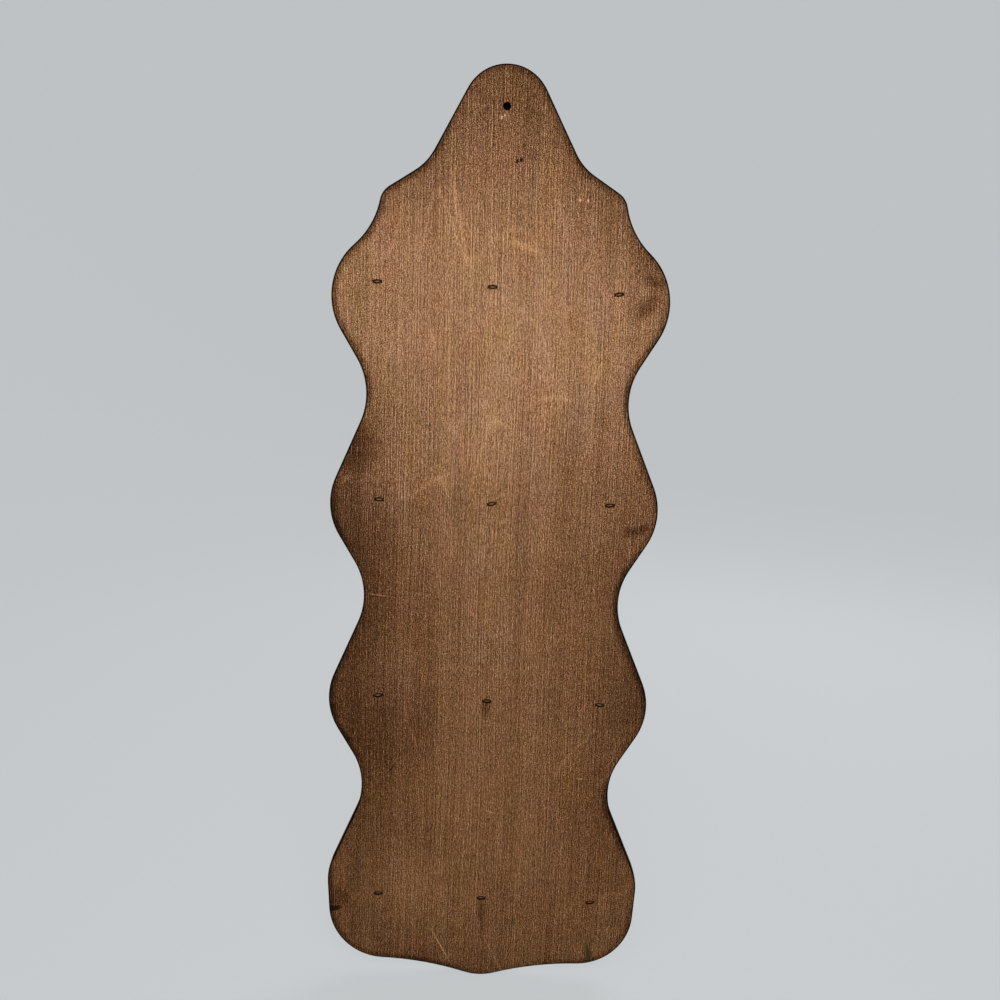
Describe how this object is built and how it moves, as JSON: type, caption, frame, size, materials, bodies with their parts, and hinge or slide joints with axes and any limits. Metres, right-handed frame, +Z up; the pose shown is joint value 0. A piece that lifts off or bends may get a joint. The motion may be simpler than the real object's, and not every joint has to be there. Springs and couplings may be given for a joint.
{
  "type": "spoon rack",
  "caption": "Tall scalloped wooden wall board with notched rails stapled across its front, which hold collectors' spoons by the handle, and a hole to hang it by.",
  "frame": {"origin": "middle of the hanging hole on the back of the board, in the plane of the wall", "axes": "+Z up along the board, +Y out of the back into the wall, +X to the right as seen from the front"},
  "size_m": [0.202, 0.0295, 0.5745],
  "materials": {
    "stained_board": "brown-stained board with fine upright grain, satin, its edges toned almost black",
    "stained_rail": "brown-stained solid wood with the grain along the rail, satin",
    "staple_wire": "drawn steel staple wire, dulled by brown stain"
  },
  "bodies": {
    "root": {"backboard": "stained_board", "top_rail": "stained_rail", "upper_rail": "stained_rail", "lower_rail": "stained_rail", "bottom_rail": "stained_rail", "staple_top_left": "staple_wire", "staple_top_centre": "staple_wire", "staple_top_right": "staple_wire", "staple_upper_left": "staple_wire", "staple_upper_centre": "staple_wire", "staple_upper_right": "staple_wire", "staple_lower_left": "staple_wire", "staple_lower_centre": "staple_wire", "staple_lower_right": "staple_wire", "staple_bottom_left": "staple_wire", "staple_bottom_centre": "staple_wire", "staple_bottom_right": "staple_wire"}
  },
  "joints": []
}
